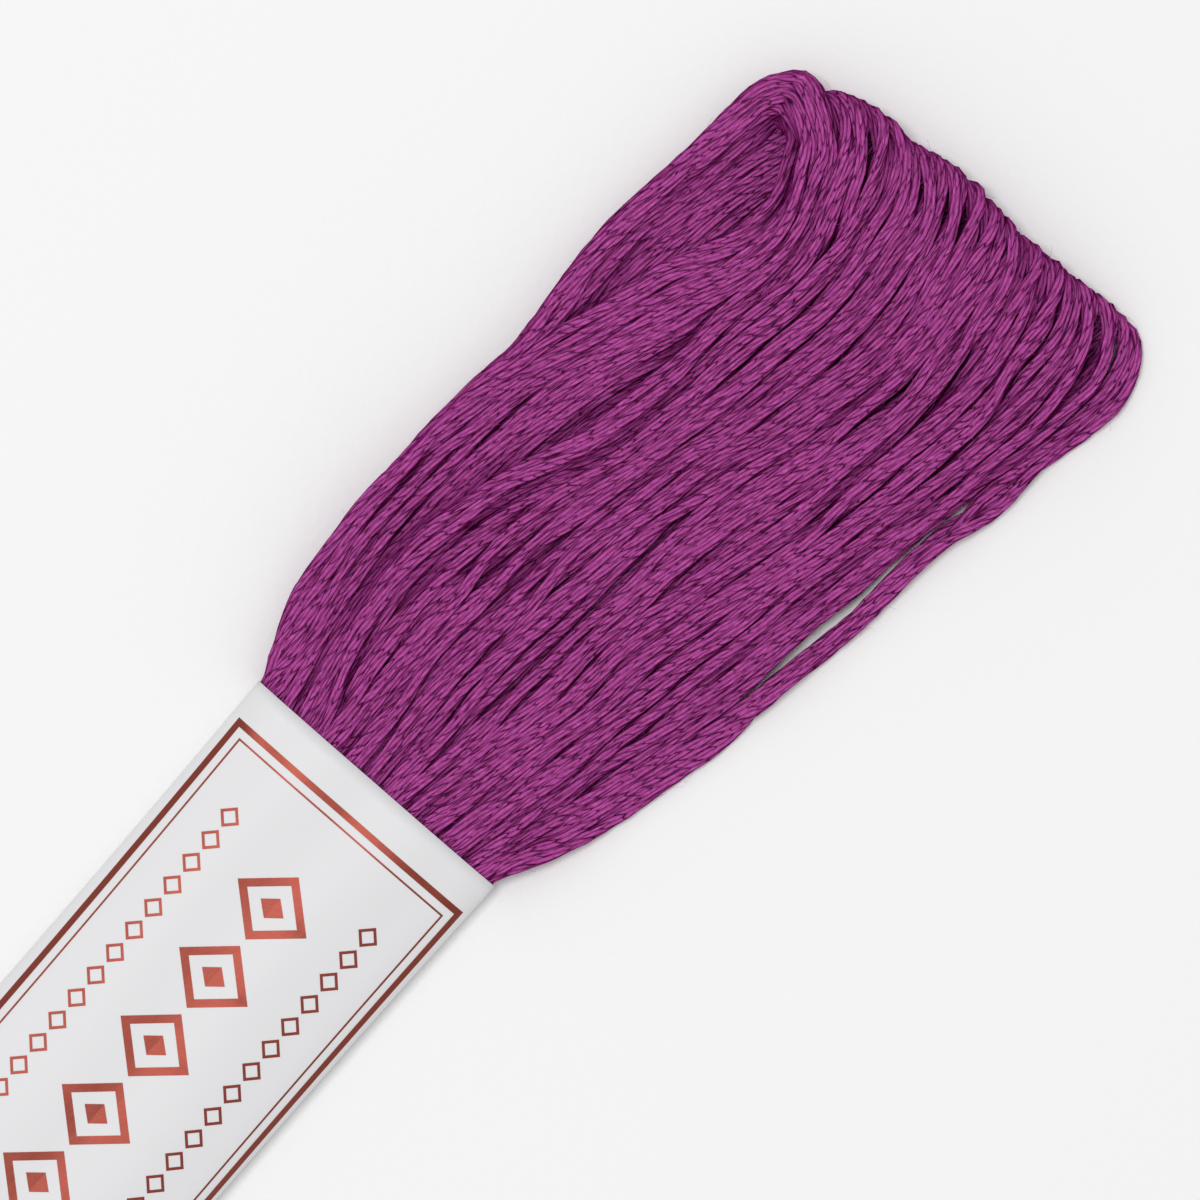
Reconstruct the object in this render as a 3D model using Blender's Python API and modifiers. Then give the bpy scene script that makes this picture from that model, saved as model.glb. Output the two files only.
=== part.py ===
"""Skein of embroidery floss: a flat loop of plied cotton thread, held at its middle by a paper sleeve.

The thread is wound into one long flat loop of 52 turns. The sleeve squeezes the loop's middle, and
the turns fan out beyond its two mouths into lanes, small groups of threads with a groove between
them. At each end the lanes lean sideways as they turn over, so the run beneath lies further to one
side than the run on top, and the loop's eye is seen from above at that corner.

Axes: +X along the skein, +Y across it, +Z up. The origin is the middle of the sleeve's underside.
"""
from collections import namedtuple
from math import cos, pi, radians, sin

import bmesh
import bpy
import numpy as np

MM = 0.001

# Sleeve, in millimetres: one piece of folded paper, open at both ends.
SLEEVE_LENGTH = 55.0
SLEEVE_WIDTH = 22.3
SLEEVE_HEIGHT = 5.2
SLEEVE_WALL = 1.0
SLEEVE_CROWN = 0.25          # the top's middle stands this much above its sides
LOWER_CORNER = 1.9           # radius of the fold from the underside to a side
UPPER_CORNER = 2.3           # radius of the softer roll from a side to the top
CORNER_STEPS = 6
CROWN_STEPS = 8

# Hank, in millimetres.
THREAD = 0.8                 # thickness of the plied thread
FILL = 0.78                  # share of a lane's section that thread fills
CLEARANCE = 0.3              # air between the hank and the sleeve, and between the hank's two runs
SQUEEZED_SIDE = 0.35         # air at the sleeve's two sides
MOUTH_FLARE = 3.0            # length beyond a mouth in which the hank reaches its free width
MOUTH_DROP = 7.0             # length beyond a mouth in which its underside comes down to the surface
EDGE_DROP = 14.0             # length beyond a mouth in which the lanes at the edges sink to their lift
NEAR_SPREAD = 0.94           # the near end fans out a little less than the far end
NEAR_EASE = 30.0             # length beyond the near mouth in which that difference comes in
TURN_REACH = 1.5             # how far a lane runs straight on before it turns over the loop's end
TURN_FALL = 0.8              # how steeply it comes down there, as a share of the loop's height
TURN_SWEEP = 0.55            # how much of its way sideways it makes there

# The run on top, lane by lane from the -Y edge: the number of threads, the y of the lane's -Y side
# at 0 to 54 mm beyond the sleeve's mouth, the place where it turns over the end of the loop, and
# the share of the run's height that it keeps. The last row is the +Y edge.
Lane = namedtuple("Lane", "threads y0 y10 y20 y30 y40 y50 y54 turn_x turn_y lift")
LANES = (
    Lane(3, -11.1, -15.5, -17.1, -18.2, -19.7, -21.3, -22.2, 60.0, -19.3, 0.42),
    Lane(4, -10.4, -14.1, -15.6, -16.6, -18.0, -19.9, -20.3, 60.4, -17.4, 0.50),
    Lane(3, -9.4, -11.9, -13.1, -14.6, -17.0, -18.3, -18.3, 60.2, -15.6, 0.70),
    Lane(3, -8.3, -10.2, -11.6, -13.3, -15.0, -16.2, -16.2, 59.9, -13.0, 0.88),
    Lane(3, -6.9, -8.4, -9.9, -11.7, -13.3, -14.1, -13.6, 59.8, -11.0, 0.97),
    Lane(4, -5.9, -7.0, -8.1, -10.3, -11.7, -12.5, -11.8, 59.8, -9.0, 1.00),
    Lane(3, -4.0, -5.6, -6.1, -7.9, -9.6, -9.6, -9.0, 59.9, -6.2, 1.00),
    Lane(2, -2.8, -4.1, -4.6, -5.6, -7.5, -8.4, -7.6, 60.2, -4.5, 1.00),
    Lane(4, -1.6, -2.5, -3.6, -4.2, -6.3, -7.1, -6.3, 60.4, -3.0, 1.00),
    Lane(4, -0.4, 0.0, -0.4, -2.0, -4.3, -5.0, -4.0, 60.0, -0.3, 1.00),
    Lane(3, 1.1, 1.8, 1.6, 0.0, -1.9, -2.4, -1.9, 59.4, 2.3, 1.00),
    Lane(3, 3.1, 3.9, 3.4, 1.3, -0.3, -1.0, -0.2, 59.6, 3.8, 1.00),
    Lane(2, 4.5, 5.2, 5.0, 3.2, 1.6, 0.8, 1.5, 59.8, 5.6, 1.00),
    Lane(4, 5.0, 5.9, 6.0, 3.7, 2.3, 2.1, 3.4, 58.9, 7.6, 1.00),
    Lane(3, 6.6, 9.2, 8.0, 5.6, 4.2, 4.3, 5.4, 58.1, 9.2, 1.00),
    Lane(4, 8.0, 10.4, 10.4, 9.5, 7.0, 5.3, 6.5, 57.9, 10.2, 0.97),
    Lane(0, 11.2, 14.0, 14.3, 12.3, 9.3, 6.3, 7.5, 57.5, 11.2, 0.94),
)

# The whole hank at the same stations: the height of the top run's crown above the surface, and the
# y of the two edges of the run beneath.
Station = namedtuple("Station", "out crown under_low under_high")
STATIONS = (
    Station(0.0, 3.9, -11.1, 11.0),
    Station(10.0, 3.6, -11.8, 12.8),
    Station(20.0, 3.4, -12.0, 13.6),
    Station(30.0, 3.4, -12.5, 13.1),
    Station(40.0, 4.0, -13.8, 14.0),
    Station(50.0, 5.2, -15.0, 12.9),
    Station(54.0, 5.3, -15.6, 12.6),
)
TURN_START = STATIONS[-1].out

# How thick a run is and how deep its grooves are, in millimetres and in shares of the loop's height.
THICKEST_LANE = 1.5
THINNEST_LANE = 0.75
LOOP_SHARE = 0.34            # most of the loop's height that one run may fill
TURN_THINNING = 0.35         # how much thinner a run is at the loop's outermost point
GROOVE_DEPTH = 0.45
GROOVE_SHARE = 0.12          # most of the loop's height that a groove may take
SLEEVED_GROOVE = 0.1

# How finely the hank is drawn: where its sections lie, and the points of one section.
MOUTH_STEPS = (0.0, 0.8, 1.7, 3.0, 5.0)
EVEN_FROM = 8.0              # beyond this the sections are evenly spaced
UPPER_STEPS = 14
UNDER_STEPS = 9
TURN_STEPS = 6               # on each side of the loop's outermost point
SLEEVE_STEPS = 4
INNER_COLUMNS = 9
INNER_SPREAD = 3             # columns on each side over which the plain inner side is smoothed
RIDGE_PROFILE = ((0.0, 1.0), (0.3, 0.0), (0.7, 0.0))    # place across a lane, share of groove depth

LANE_COUNT = len(LANES) - 1
TURNS = sum(lane.threads for lane in LANES)
HALF_SLEEVE = SLEEVE_LENGTH / 2
ROOM_LOW = SLEEVE_WALL + CLEARANCE
ROOM_HIGH = SLEEVE_HEIGHT - SLEEVE_CROWN - SLEEVE_WALL - CLEARANCE
SLEEVED_HALF = (ROOM_HIGH - ROOM_LOW - CLEARANCE) / 2
SLEEVED_SCALE = (SLEEVE_WIDTH - 2 * (SLEEVE_WALL + SQUEEZED_SIDE)) / (LANES[-1].y0 - LANES[0].y0)


def ease(value):
    """Smooth step from 0 to 1."""
    value = min(max(value, 0.0), 1.0)
    return value * value * (3 - 2 * value)


def mix(start, end, share):
    return start + (end - start) * share


def curve_through(knots, values, at):
    """Value at one place of the smooth curve through values set at the knots."""
    knots = np.asarray(knots, float)
    values = np.asarray(values, float)
    slopes = np.gradient(values, knots)
    span = int(np.clip(np.searchsorted(knots, at, side="right") - 1, 0, len(knots) - 2))
    width = knots[span + 1] - knots[span]
    t = (at - knots[span]) / width
    start = values[span] * (1 + 2 * t) * (1 - t) ** 2 + slopes[span] * width * t * (1 - t) ** 2
    end = values[span + 1] * t * t * (3 - 2 * t) + slopes[span + 1] * width * t * t * (t - 1)
    return float(start + end)


def bend(start, end, leave, arrive, t):
    """Point on a smooth bend between two points, with its directions at both."""
    return (start * (1 + 2 * t) * (1 - t) ** 2 + leave * t * (1 - t) ** 2
            + end * t * t * (3 - 2 * t) + arrive * t * t * (t - 1))


STATION_OUT = [station.out for station in STATIONS]
THREADS_BELOW = np.cumsum([0] + [lane.threads for lane in LANES[:-1]]) / TURNS


def corner_drop(y, radius):
    """How far a squeezed run's surface keeps back at the sleeve's rounded corners."""
    room = radius - SLEEVE_WALL - CLEARANCE
    over = min(max(abs(y) - (SLEEVE_WIDTH / 2 - radius), 0.0), room)
    return room - (room ** 2 - over ** 2) ** 0.5


def free_width(out):
    """Share of the free width that the hank has at a distance beyond a mouth."""
    return mix(SLEEVED_SCALE, 1.0, ease(out / MOUTH_FLARE))


def upper_point(side, out):
    """Point on the crown of the top run, on the -Y side of a lane."""
    lane = LANES[side]
    y = curve_through(STATION_OUT, lane[1:1 + len(STATIONS)], out) * free_width(out)
    crown = curve_through(STATION_OUT, [station.crown for station in STATIONS], out)
    free_height = crown * mix(1.0, lane.lift, ease(out / EDGE_DROP))
    squeezed_height = ROOM_HIGH - corner_drop(y, UPPER_CORNER)
    return np.array((HALF_SLEEVE + out, y, mix(squeezed_height, free_height, ease(out / MOUTH_FLARE))))


def under_point(side, out):
    """Point on the lowest surface of the run beneath, on the -Y side of a lane."""
    low = curve_through(STATION_OUT, [station.under_low for station in STATIONS], out)
    high = curve_through(STATION_OUT, [station.under_high for station in STATIONS], out)
    y = mix(low, high, THREADS_BELOW[side]) * free_width(out)
    squeezed_height = ROOM_LOW + corner_drop(y, LOWER_CORNER)
    return np.array((HALF_SLEEVE + out, y, mix(squeezed_height, 0.0, ease(out / MOUTH_DROP))))


def turn_point(side, share):
    """Point on the end of the loop: share 0 leaves the top run, share 2 meets the run beneath."""
    lane = LANES[side]
    start = upper_point(side, TURN_START)
    end = under_point(side, TURN_START)
    outermost = np.array((HALF_SLEEVE + lane.turn_x, lane.turn_y, start[2] / 2))
    reach = (lane.turn_x - TURN_START) * TURN_REACH
    drop = np.array((0.0, (end[1] - start[1]) * TURN_SWEEP, -start[2] * TURN_FALL))
    if share <= 1:
        lean = (lane.y54 - lane.y50) / (STATIONS[-1].out - STATIONS[-2].out)
        return bend(start, outermost, np.array((reach, lean * reach, 0.0)), drop, share)
    return bend(outermost, end, drop, np.array((-reach, 0.0, 0.0)), share - 1)


def lane_depth(side, out, under):
    """Thickness of a run at one side of a lane: its threads' section shared over its width."""
    depths = []
    for lane in (max(side - 1, 0), min(side, LANE_COUNT - 1)):
        point = under_point if under else upper_point
        width = point(lane + 1, out)[1] - point(lane, out)[1]
        depths.append(LANES[lane].threads * THREAD ** 2 * pi / 4 / FILL / width)
    thickest = min(THICKEST_LANE, LOOP_SHARE * upper_point(side, out)[2])
    free = min(max(sum(depths) / 2, THINNEST_LANE), thickest)
    edge_y = (under_point if under else upper_point)(side, 0.0)[1]
    squeezed = SLEEVED_HALF - corner_drop(edge_y, LOWER_CORNER if under else UPPER_CORNER)
    return mix(squeezed, free, ease(out / MOUTH_DROP))


def groove_depths(out):
    """Depth of the groove at each lane side, less where the loop is low."""
    free = [min(GROOVE_DEPTH, GROOVE_SHARE * lane.lift * STATIONS[-1].crown) for lane in LANES]
    return [mix(SLEEVED_GROOVE, depth, ease(out / MOUTH_DROP)) for depth in free]


def end_rows():
    """Rows of (points, depths, groove depths) by lane side, from a mouth over the end and back."""
    sides = range(LANE_COUNT + 1)
    upper_outs = list(MOUTH_STEPS) + list(np.linspace(EVEN_FROM, TURN_START, UPPER_STEPS))
    under_outs = list(np.linspace(TURN_START, EVEN_FROM, UNDER_STEPS)) + list(MOUTH_STEPS[::-2])
    rows = []
    for out in upper_outs:
        rows.append(([upper_point(side, out) for side in sides],
                     [lane_depth(side, out, False) for side in sides], groove_depths(out)))
    for step in range(1, 2 * TURN_STEPS):
        share = step / TURN_STEPS
        thin = 1 - TURN_THINNING * sin(pi * share / 2)
        depths = [mix(lane_depth(side, TURN_START, False), lane_depth(side, TURN_START, True), share / 2)
                  * thin for side in sides]
        rows.append(([turn_point(side, share) for side in sides], depths, groove_depths(TURN_START)))
    for out in under_outs:
        rows.append(([under_point(side, out) for side in sides],
                     [lane_depth(side, out, True) for side in sides], groove_depths(out)))
    return rows


def turned_round(rows):
    """The same rows for the other end of the hank: turned half way round the vertical axis."""
    turned = []
    for points, depths, grooves in reversed(rows):
        spread = []
        for point in reversed(points):
            out = point[0] - HALF_SLEEVE
            narrow = mix(1.0, NEAR_SPREAD, ease(out / NEAR_EASE))
            spread.append(np.array((-point[0], -point[1] * narrow, point[2])))
        turned.append((spread, depths[::-1], grooves[::-1]))
    return turned


def rows_through_sleeve(start, end):
    """Rows between two mouths."""
    rows = []
    for step in range(1, SLEEVE_STEPS):
        share = step / SLEEVE_STEPS
        points = [mix(a, b, share) for a, b in zip(start[0], end[0])]
        depths = [mix(a, b, share) for a, b in zip(start[1], end[1])]
        rows.append((points, depths, start[2]))
    return rows


def hank_rows():
    """All rows once round the loop."""
    far = end_rows()
    near = turned_round(far)
    return far + rows_through_sleeve(far[-1], near[0]) + near + rows_through_sleeve(near[-1], far[0])


def spread_out(field):
    """The same field, averaged with its neighbours across the run, for the plain inner side."""
    padded = np.pad(field, ((0, 0), (INNER_SPREAD, INNER_SPREAD), (0, 0)), mode="edge")
    width = 2 * INNER_SPREAD + 1
    return sum(padded[:, shift:shift + field.shape[1]] for shift in range(width)) / width


def hank_grid():
    """Points of the hank's solid: a ring of sections, each once round the run it cuts."""
    rows = hank_rows()
    crown, groove, depth = [], [], []
    for points, depths, grooves in rows:
        crown_row, groove_row, depth_row = [], [], []
        for lane in range(LANE_COUNT):
            for place, share in RIDGE_PROFILE:
                crown_row.append(mix(points[lane], points[lane + 1], place))
                groove_row.append(share * grooves[lane])
                depth_row.append(mix(depths[lane], depths[lane + 1], place))
        crown.append(crown_row + [points[-1]])
        groove.append(groove_row + [0.0])
        depth.append(depth_row + [depths[-1]])
    crown, groove, depth = np.array(crown), np.array(groove), np.array(depth)
    groove[:, 0] = depth[:, 0] / 2
    groove[:, -1] = depth[:, -1] / 2
    along = np.roll(crown, -1, axis=0) - np.roll(crown, 1, axis=0)
    across = np.gradient(crown, axis=1)
    outward = np.cross(along, across)
    outward /= np.linalg.norm(outward, axis=2, keepdims=True)
    outer = crown - outward * groove[..., None]
    picked = np.linspace(1, crown.shape[1] - 2, INNER_COLUMNS).round().astype(int)
    inner = crown[:, picked] - spread_out(outward)[:, picked] * spread_out(depth[..., None])[:, picked]
    inner[..., 2] = np.maximum(inner[..., 2], 0.0)
    return np.concatenate([outer, inner[:, ::-1]], axis=1)


def mesh_object(name, mesh_builder, material, collection):
    """New object from a bmesh, shaded smooth but for its sharp edges."""
    mesh = bpy.data.meshes.new(name)
    mesh_builder.to_mesh(mesh)
    mesh_builder.free()
    mesh.materials.append(material)
    mesh.shade_smooth()
    mesh.set_sharp_from_angle(angle=radians(45))
    part = bpy.data.objects.new(name, mesh)
    collection.objects.link(part)
    return part


def make_hank(material, collection):
    """The wound thread: one ring-shaped solid, lofted round the flat loop."""
    grid = hank_grid() * MM
    stations, columns = grid.shape[:2]
    builder = bmesh.new()
    verts = [[builder.verts.new(point) for point in row] for row in grid]
    for station in range(stations):
        following = (station + 1) % stations
        for column in range(columns):
            beside = (column + 1) % columns
            builder.faces.new((verts[station][column], verts[following][column],
                               verts[following][beside], verts[station][beside]))
    bmesh.ops.recalc_face_normals(builder, faces=builder.faces)
    return mesh_object("hank", builder, material, collection)


def arc(centre_y, centre_z, radius, start, end, steps):
    """Points of an arc in the section plane, its angles in degrees."""
    angles = [radians(mix(start, end, step / steps)) for step in range(steps + 1)]
    return [(centre_y + radius * cos(angle), centre_z + radius * sin(angle)) for angle in angles]


def sleeve_outline():
    """Half of the sleeve's section, from the middle of the underside to the middle of the top."""
    side = SLEEVE_WIDTH / 2
    shoulder = SLEEVE_HEIGHT - SLEEVE_CROWN
    points = [(0.0, 0.0)]
    points += arc(side - LOWER_CORNER, LOWER_CORNER, LOWER_CORNER, -90, 0, CORNER_STEPS)
    points += arc(side - UPPER_CORNER, shoulder - UPPER_CORNER, UPPER_CORNER, 0, 90, CORNER_STEPS)
    crown_half = side - UPPER_CORNER
    for step in range(1, CROWN_STEPS + 1):
        share = step / CROWN_STEPS
        points.append((crown_half * (1 - share), shoulder + SLEEVE_CROWN * ease(share)))
    return points


def make_sleeve(material, collection):
    """The paper sleeve: half a tube, mirrored across the middle and thickened inwards."""
    builder = bmesh.new()
    mouth = [builder.verts.new((HALF_SLEEVE * MM, y * MM, z * MM)) for y, z in sleeve_outline()]
    edges = [builder.edges.new(pair) for pair in zip(mouth[:-1], mouth[1:])]
    other_mouth = bmesh.ops.extrude_edge_only(builder, edges=edges)["geom"]
    moved = [item for item in other_mouth if isinstance(item, bmesh.types.BMVert)]
    bmesh.ops.translate(builder, verts=moved, vec=(-SLEEVE_LENGTH * MM, 0.0, 0.0))
    sleeve = mesh_object("sleeve", builder, material, collection)
    other_half = sleeve.modifiers.new("other half", "MIRROR")
    other_half.use_axis = (False, True, False)
    other_half.merge_threshold = 0.00001
    paper = sleeve.modifiers.new("paper", "SOLIDIFY")
    paper.thickness = SLEEVE_WALL * MM
    paper.offset = -1.0
    paper.use_even_offset = True
    return sleeve


def make_material(name, colour, roughness):
    material = bpy.data.materials.new(name)
    material.use_nodes = True
    shader = material.node_tree.nodes["Principled BSDF"]
    shader.inputs["Base Color"].default_value = (*colour, 1.0)
    shader.inputs["Roughness"].default_value = roughness
    shader.inputs["Metallic"].default_value = 0.0
    return material


def main():
    for leftover in list(bpy.data.objects):
        bpy.data.objects.remove(leftover, do_unlink=True)
    skein = bpy.data.collections.new("embroidery_floss_skein")
    bpy.context.scene.collection.children.link(skein)
    make_hank(make_material("plied cotton", (0.25, 0.035, 0.19), 0.85), skein)
    make_sleeve(make_material("coated paper", (0.80, 0.80, 0.82), 0.45), skein)


main()
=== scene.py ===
"""Looks of a skein of embroidery floss: one plied cotton thread wound into a flat loop of 52 turns,
its stray fibres, and the folded paper sleeve with its foil print.

Tables and sizes are in millimetres. Meshes are in metres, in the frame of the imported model: +X along
the skein, +Y across it, +Z up, with the origin at the middle of the sleeve's underside.
"""
from collections import namedtuple
from math import pi, radians

import bmesh
import bpy
import numpy as np
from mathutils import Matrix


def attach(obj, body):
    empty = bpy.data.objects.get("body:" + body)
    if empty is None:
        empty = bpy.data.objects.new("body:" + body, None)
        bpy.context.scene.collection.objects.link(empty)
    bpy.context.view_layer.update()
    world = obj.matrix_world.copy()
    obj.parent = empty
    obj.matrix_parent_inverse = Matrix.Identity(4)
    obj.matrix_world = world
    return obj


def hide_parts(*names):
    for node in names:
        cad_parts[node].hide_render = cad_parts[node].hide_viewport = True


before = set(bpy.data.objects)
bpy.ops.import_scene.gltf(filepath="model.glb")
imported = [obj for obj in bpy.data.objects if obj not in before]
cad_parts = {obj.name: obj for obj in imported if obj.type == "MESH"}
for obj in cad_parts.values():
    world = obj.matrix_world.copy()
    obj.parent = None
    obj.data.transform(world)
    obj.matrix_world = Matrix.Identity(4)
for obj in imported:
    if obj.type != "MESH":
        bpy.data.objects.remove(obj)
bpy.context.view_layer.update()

MM = 0.001

# Thread.
THREAD = 0.98  # thickness where nothing presses it
PLIES = 6
PLY_PITCH = 28.0  # length of one turn, right-handed
PLY_VALLEY = 0.74  # radius between two plies, as a share of the full one
POINTS_PER_PLY = 3
SPACING = 0.72  # from one thread to the next, side by side in a lane
CONTACT = 0.67  # nearest that two middles come: threads press into each other a little
ROW_STEP = 0.6  # from one row of threads to the one inside it
END_POINTS = 172  # points of one turn over one end
SLEEVE_POINTS = 14  # points of one run through the sleeve
THREAD_PIECES = 5  # pieces it is cut into, inside the sleeve

# Sleeve, of thin coated paper. Its section is a low dome over a nearly flat underside.
SLEEVE_LENGTH = 55.0
SLEEVE_WIDTH = 22.3
SLEEVE_HEIGHT = 4.3
SLEEVE_SIDE = 1.6  # height at which it is widest
DOME_POWER = 2.7  # how square its top is, where 2 is an ellipse
BASE_POWER = 5.0  # and its underside
SLEEVE_WAIST = 0.3  # how far each side comes in between the mouths
PAPER = 0.18
GLUED = 8.0  # width of the overlap underneath
HALF_SLEEVE = SLEEVE_LENGTH / 2
PAPER_WAVES = ((8.5, 0.09, 2.25), (3.7, 0.006, 0.4))  # length across, depth, place across
WAVES_STOP = 1.0  # how far in from the side they end, and over what length they fade
WAVES_FADE = 3.0
WAVES_SWAY = (0.1, 37.0)  # how far they stray across, in waves, and over what length
TUCK_FROM = 1.0  # how soon the glued end steps down under the other, over what length,
TUCK_STEP = 1.5  # and how much more than the thickness of the paper
GLUE = 0.02
OUTLINE_POINTS = 1441  # points of the sleeve's section
SLEEVE_ROWS = 56  # points of the paper along the skein and around it
SLEEVE_COLUMNS = 281

# Foil print: a double frame with plain rows of diamonds. Sizes along x and around the sleeve.
FOIL_ABOVE = 0.02
FOIL_BELOW = 0.03
FOIL_STEP = 0.15  # length of its faces
FOIL_EDGE = 40  # its edges are sharp above this angle, in degrees
FRAME_LINE = 0.5  # the thick outer line
FRAME_END = 3.1  # from a mouth to its middle
FRAME_HIGH = 10.1  # y of its long sides
FRAME_LOW = -10.7
PRINT_SLOPE = 0.009  # the print runs a little askew
INNER_LINE = 0.14  # the thin inner line
INNER_GAP = 0.9  # from the outer line to the inner one
ROW_MARGIN = 4.2  # from the frame's ends to the diamonds
SQUARE = ((-1, -1), (1, -1), (1, 1), (-1, 1))
DIAMOND = ((-1, 0), (0, -1), (1, 0), (0, 1))
FILLED = 0.02  # share left open where a line fills its diamond
Row = namedtuple("Row", "y pitch half_x half_y line")
DIAMOND_ROWS = (
    Row(-0.4, 6.4, 2.9, 3.3, 0.8),
    Row(-0.4, 6.4, 0.9, 1.1, 0.9),
    Row(6.2, 2.1, 0.9, 0.9, 0.3),
    Row(-7.0, 2.1, 0.9, 0.9, 0.3),
)

# Cotton's fine structure. Each ply is two yarns twisted the other way, blurred by loose fibres.
PLY_WANDER = 0.6  # how far the valleys between plies wander, in plies
PLY_WANDER_LENGTH = 3.0
PLY_WANDER_ACROSS = 0.7  # patches of it to a ply's width
PLY_RELIEF = 0.08  # on top of what the mesh has
VALLEY_EDGE = (0.1, 0.6)  # heights between which the painted shade on a ply's side fades from dark to none
VALLEY_SHADE = 0.42  # how dark the painted shade in these valleys is, against that in the slits in the plies
LUMP_LENGTH = 1.1  # thick and thin spots of uneven spinning
LUMP_DEPTH = 0.28
PITCH_SEED = 5
PITCH_DRIFT = (0.35, (61.0, 23.0, 11.0))  # how the plying tightens and loosens
YARN_LAY = 4.2  # length of one turn
YARN_OFFSET = 0.35  # from the ply's middle to a yarn's, in half widths of the ply
YARN_RADIUS = 0.8  # in half widths of the ply
YARN_SLIT = 0.55  # how wide the painted shade of the slit between two yarns is, in half widths of the ply
YARN_DRIFT = 2.2  # how far their turns wander from even spacing, in turns
YARN_DRIFT_LENGTH = 6.0
YARN_DRIFT_ACROSS = 7.3  # high enough that neighbouring plies wander on their own
YARN_RELIEF = 0.2
FUZZ_LENGTH = 1.7  # stretches where fuzz hides the slits
FUZZ_ACROSS = 0.9  # stretches of it to a ply's width
FUZZ_START = 0.37  # sets it apart from the plies' wander
FUZZ_EDGE = (0.36, 0.52)  # above the one it starts to thin, above the other there is none
FUZZ_VEIL = 0.45  # how much of a slit's painted shade the fuzz hides
FIBRE_LENGTH = 0.55  # grain of the fibres, drawn some ten times too coarse so that it shows
FIBRES_ACROSS = 0.16  # and this share of a ply's width across
FIBRE_RELIEF = 0.05
FIBRE_EDGE = (0.2, 0.8)  # between these its colour goes from dull to bright
SIDE_SHADE_EDGE = (0.1, 0.95)  # how upright the surface is where the painted shade on a thread's side gives way to its top
SHELTER_SHADE_EDGE = (0.05, 0.6)  # where the painted shade of shelter starts to darken it, and where it is darkest
SHELTER_CELL = 0.5  # the hank's surface is read in cells of this size,
SHELTER_REACH = 9  # and this many of them each way, to find how sheltered a thread is
SHELTER_SIDES = ((1, 0), (1, 1), (0, 1), (-1, 1), (-1, 0), (-1, -1), (0, -1), (1, -1))

# Stray fibres.
STRAY_FIBRES = 6500
FIBRE_SEED = 21
FIBRE_STEPS = 4
FIBRE_THICKNESS = 0.018
FIBRE_LENGTHS = (0.4, 1.3)
FIBRE_CELL = 0.6  # cells in which the outermost threads are found
FIBRE_ROOT = 0.47  # how far out they start, as a share of the thread's thickness
FIBRE_LEAN = 1.25  # how far down its side, as an angle
FIBRE_SHIFT = 0.3  # and how far along it
FIBRE_CLEAR = 0.8  # on the underside only threads this high, in thicknesses, have any
FIBRE_LIFT = 0.45  # how far they point away from the thread, and how freely
FIBRE_SCATTER = 0.28
FIBRE_SHAPE = ((0.0, 0.0, 0.0), (0.0, 0.0, 0.55), (0.0, 0.45, 1.0))

# The run on top, lane by lane from the -Y edge: the number of threads, the y of the lane's -Y side
# at 0 to 54 mm beyond the sleeve's mouth, the place where it turns over the end of the loop, and
# the share of the run's height that it keeps. The last row is the +Y edge.
Lane = namedtuple("Lane", "threads y0 y10 y20 y30 y40 y50 y54 turn_x turn_y lift")
LANES = (
    Lane(3, -11.1, -13.9, -16.2, -18.0, -19.3, -20.6, -21.3, 60.0, -19.3, 0.34),
    Lane(2, -10.4, -13.5, -15.5, -17.0, -17.9, -19.9, -20.3, 60.4, -17.4, 0.40),
    Lane(3, -9.4, -11.7, -13.4, -15.1, -16.6, -18.3, -18.3, 60.2, -15.6, 0.70),
    Lane(3, -8.3, -10.2, -11.6, -13.3, -15.0, -16.2, -16.2, 59.9, -13.0, 0.88),
    Lane(3, -6.9, -8.4, -9.9, -11.7, -13.3, -14.1, -13.6, 59.8, -11.0, 0.97),
    Lane(4, -5.9, -7.0, -8.1, -10.3, -11.7, -12.5, -11.8, 59.8, -9.0, 1.00),
    Lane(3, -4.0, -5.6, -6.1, -7.9, -9.6, -9.6, -9.0, 59.9, -6.2, 1.00),
    Lane(2, -2.8, -4.1, -4.6, -5.6, -7.5, -8.4, -7.6, 60.2, -4.5, 1.00),
    Lane(3, -1.6, -2.5, -3.6, -4.2, -6.3, -7.1, -6.3, 60.4, -3.0, 1.00),
    Lane(3, -0.4, 0.0, -0.4, -2.0, -4.3, -5.0, -4.0, 60.0, -0.3, 1.00),
    Lane(3, 1.1, 1.8, 1.6, 0.0, -1.9, -2.4, -1.9, 59.4, 2.3, 1.00),
    Lane(3, 3.1, 3.9, 3.4, 1.3, -0.3, -1.0, -0.2, 59.6, 3.8, 1.00),
    Lane(3, 4.5, 5.2, 5.0, 2.6, 1.5, 0.9, 1.7, 59.6, 5.9, 1.00),
    Lane(4, 5.0, 7.2, 6.6, 3.1, 2.2, 2.4, 4.1, 58.2, 7.5, 1.00),
    Lane(6, 6.6, 9.4, 8.5, 5.1, 4.0, 3.8, 5.7, 58.1, 9.2, 1.00),
    Lane(4, 8.0, 10.4, 10.4, 9.5, 6.8, 5.1, 7.0, 57.9, 10.2, 0.97),
    Lane(0, 11.2, 14.0, 14.3, 12.3, 9.2, 6.3, 8.2, 57.5, 11.2, 0.94),
)
TURNS = sum(lane.threads for lane in LANES)

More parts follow.
